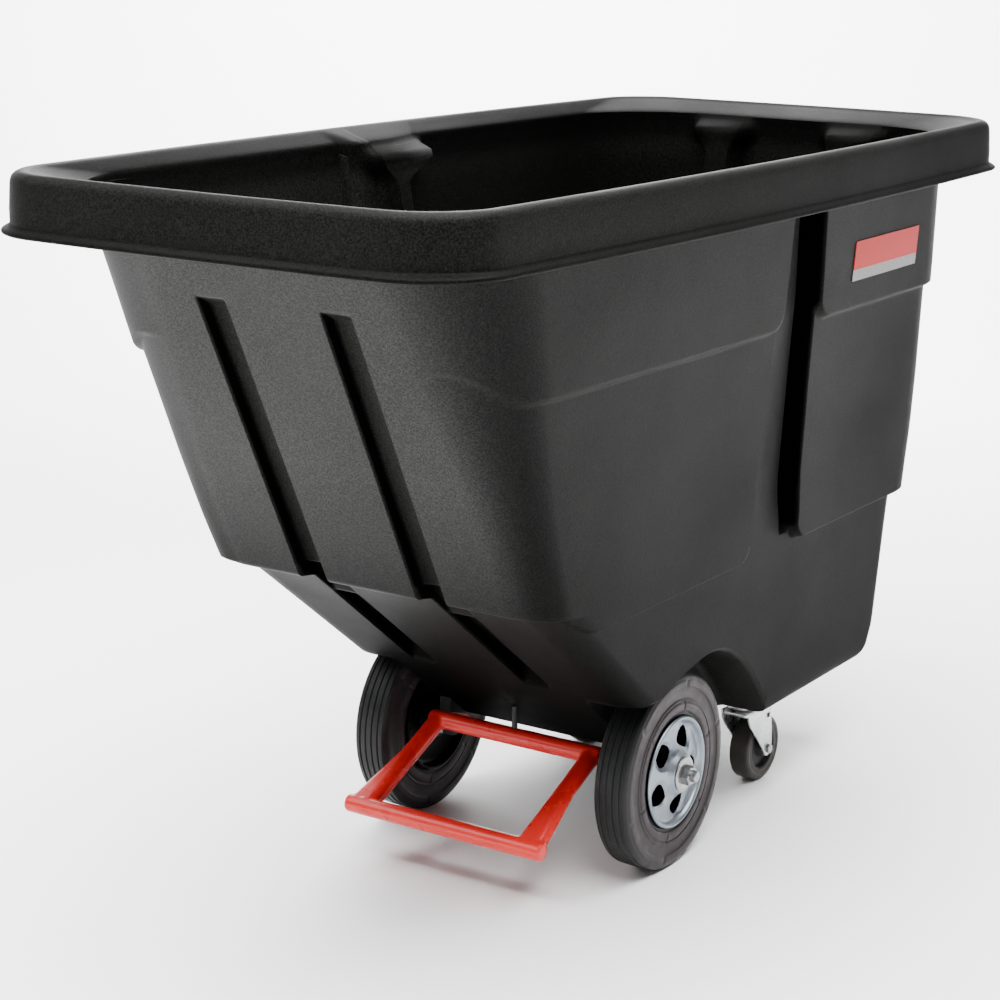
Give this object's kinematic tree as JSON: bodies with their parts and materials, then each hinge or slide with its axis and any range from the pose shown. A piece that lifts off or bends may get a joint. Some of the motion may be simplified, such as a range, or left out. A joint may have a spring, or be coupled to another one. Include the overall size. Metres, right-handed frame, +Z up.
{
  "type": "tilt truck",
  "caption": "Tilt truck: an open moulded hopper with a sloping dump end, on fixed main wheels and swivel casters, with a tubular dump frame under the slope.",
  "frame": {"origin": "on the floor, under the centre of the rim", "axes": "+X to the right side, +Y to the upright rear end over the casters, -Y to the sloping dump end, +Z up"},
  "size_m": [0.72, 1.537, 0.972],
  "materials": {
    "hopper_plastic": "charcoal rotomoulded polyethylene, satin with a fine grain",
    "label": "red plastic label with a pale blank strip",
    "red_paint": "glossy red powder coat",
    "zinc_steel": "bright zinc plate",
    "wheel_steel": "silver pressed steel, satin",
    "tyre_rubber": "matt black moulded rubber",
    "caster_rubber": "matt black rubber tread",
    "block_nylon": "black moulded nylon",
    "bearing_steel": "oiled bearing steel"
  },
  "bodies": {
    "chassis": {"hopper": "hopper_plastic", "label_plate": "label", "axle": "zinc_steel", "dump_frame_front_bar": "red_paint", "dump_frame_rear_bar": "red_paint", "dump_frame_stud": "zinc_steel", "axle_block_left": "block_nylon", "axle_block_bolt_left": "zinc_steel", "dump_frame_rail_left": "red_paint", "dump_frame_lug_left": "red_paint", "washer_outer_left": "zinc_steel", "washer_inner_left": "zinc_steel", "axle_spacer_left": "zinc_steel", "axle_nut_left": "zinc_steel", "caster_plate_left": "zinc_steel", "caster_upper_race_left": "zinc_steel", "caster_kingpin_left": "zinc_steel", "caster_bolt_left_1": "zinc_steel", "caster_bolt_left_2": "zinc_steel", "caster_bolt_left_3": "zinc_steel", "caster_bolt_left_4": "zinc_steel", "axle_block_right": "block_nylon", "axle_block_bolt_right": "zinc_steel", "dump_frame_rail_right": "red_paint", "dump_frame_lug_right": "red_paint", "washer_outer_right": "zinc_steel", "washer_inner_right": "zinc_steel", "axle_spacer_right": "zinc_steel", "axle_nut_right": "zinc_steel", "caster_plate_right": "zinc_steel", "caster_upper_race_right": "zinc_steel", "caster_kingpin_right": "zinc_steel", "caster_bolt_right_1": "zinc_steel", "caster_bolt_right_2": "zinc_steel", "caster_bolt_right_3": "zinc_steel", "caster_bolt_right_4": "zinc_steel"},
    "wheel_left": {"tyre_left": "tyre_rubber", "wheel_disc_outer_left": "wheel_steel", "wheel_disc_inner_left": "wheel_steel", "hub_sleeve_left": "wheel_steel", "roller_bearing_left": "bearing_steel"},
    "caster_swivel_left": {"caster_fork_left": "zinc_steel", "caster_lower_race_left": "zinc_steel", "caster_bush_left": "bearing_steel", "caster_axle_bolt_left": "zinc_steel", "caster_axle_nut_left": "zinc_steel"},
    "caster_wheel_left": {"caster_tyre_left": "caster_rubber", "caster_core_left": "block_nylon"},
    "wheel_right": {"tyre_right": "tyre_rubber", "wheel_disc_outer_right": "wheel_steel", "wheel_disc_inner_right": "wheel_steel", "hub_sleeve_right": "wheel_steel", "roller_bearing_right": "bearing_steel"},
    "caster_swivel_right": {"caster_fork_right": "zinc_steel", "caster_lower_race_right": "zinc_steel", "caster_bush_right": "bearing_steel", "caster_axle_bolt_right": "zinc_steel", "caster_axle_nut_right": "zinc_steel"},
    "caster_wheel_right": {"caster_tyre_right": "caster_rubber", "caster_core_right": "block_nylon"}
  },
  "joints": [
    {"name": "wheel_spin_left", "type": "hinge", "parent": "chassis", "child": "wheel_left", "pos_m": [-0.1955, -0.033, 0.1365], "axis": [1, 0, 0], "continuous": true},
    {"name": "caster_turn_left", "type": "hinge", "parent": "chassis", "child": "caster_swivel_left", "pos_m": [-0.152, 0.295, 0.125], "axis": [0, 0, 1], "continuous": true},
    {"name": "caster_roll_left", "type": "hinge", "parent": "caster_swivel_left", "child": "caster_wheel_left", "pos_m": [-0.13383, 0.33397, 0.0508], "axis": [0.9063, -0.4226, 0], "continuous": true},
    {"name": "wheel_spin_right", "type": "hinge", "parent": "chassis", "child": "wheel_right", "pos_m": [0.1955, -0.033, 0.1365], "axis": [1, 0, 0], "continuous": true},
    {"name": "caster_turn_right", "type": "hinge", "parent": "chassis", "child": "caster_swivel_right", "pos_m": [0.152, 0.295, 0.125], "axis": [0, 0, 1], "continuous": true},
    {"name": "caster_roll_right", "type": "hinge", "parent": "caster_swivel_right", "child": "caster_wheel_right", "pos_m": [0.1535, 0.33797, 0.0508], "axis": [0.9994, -0.0349, 0], "continuous": true}
  ]
}
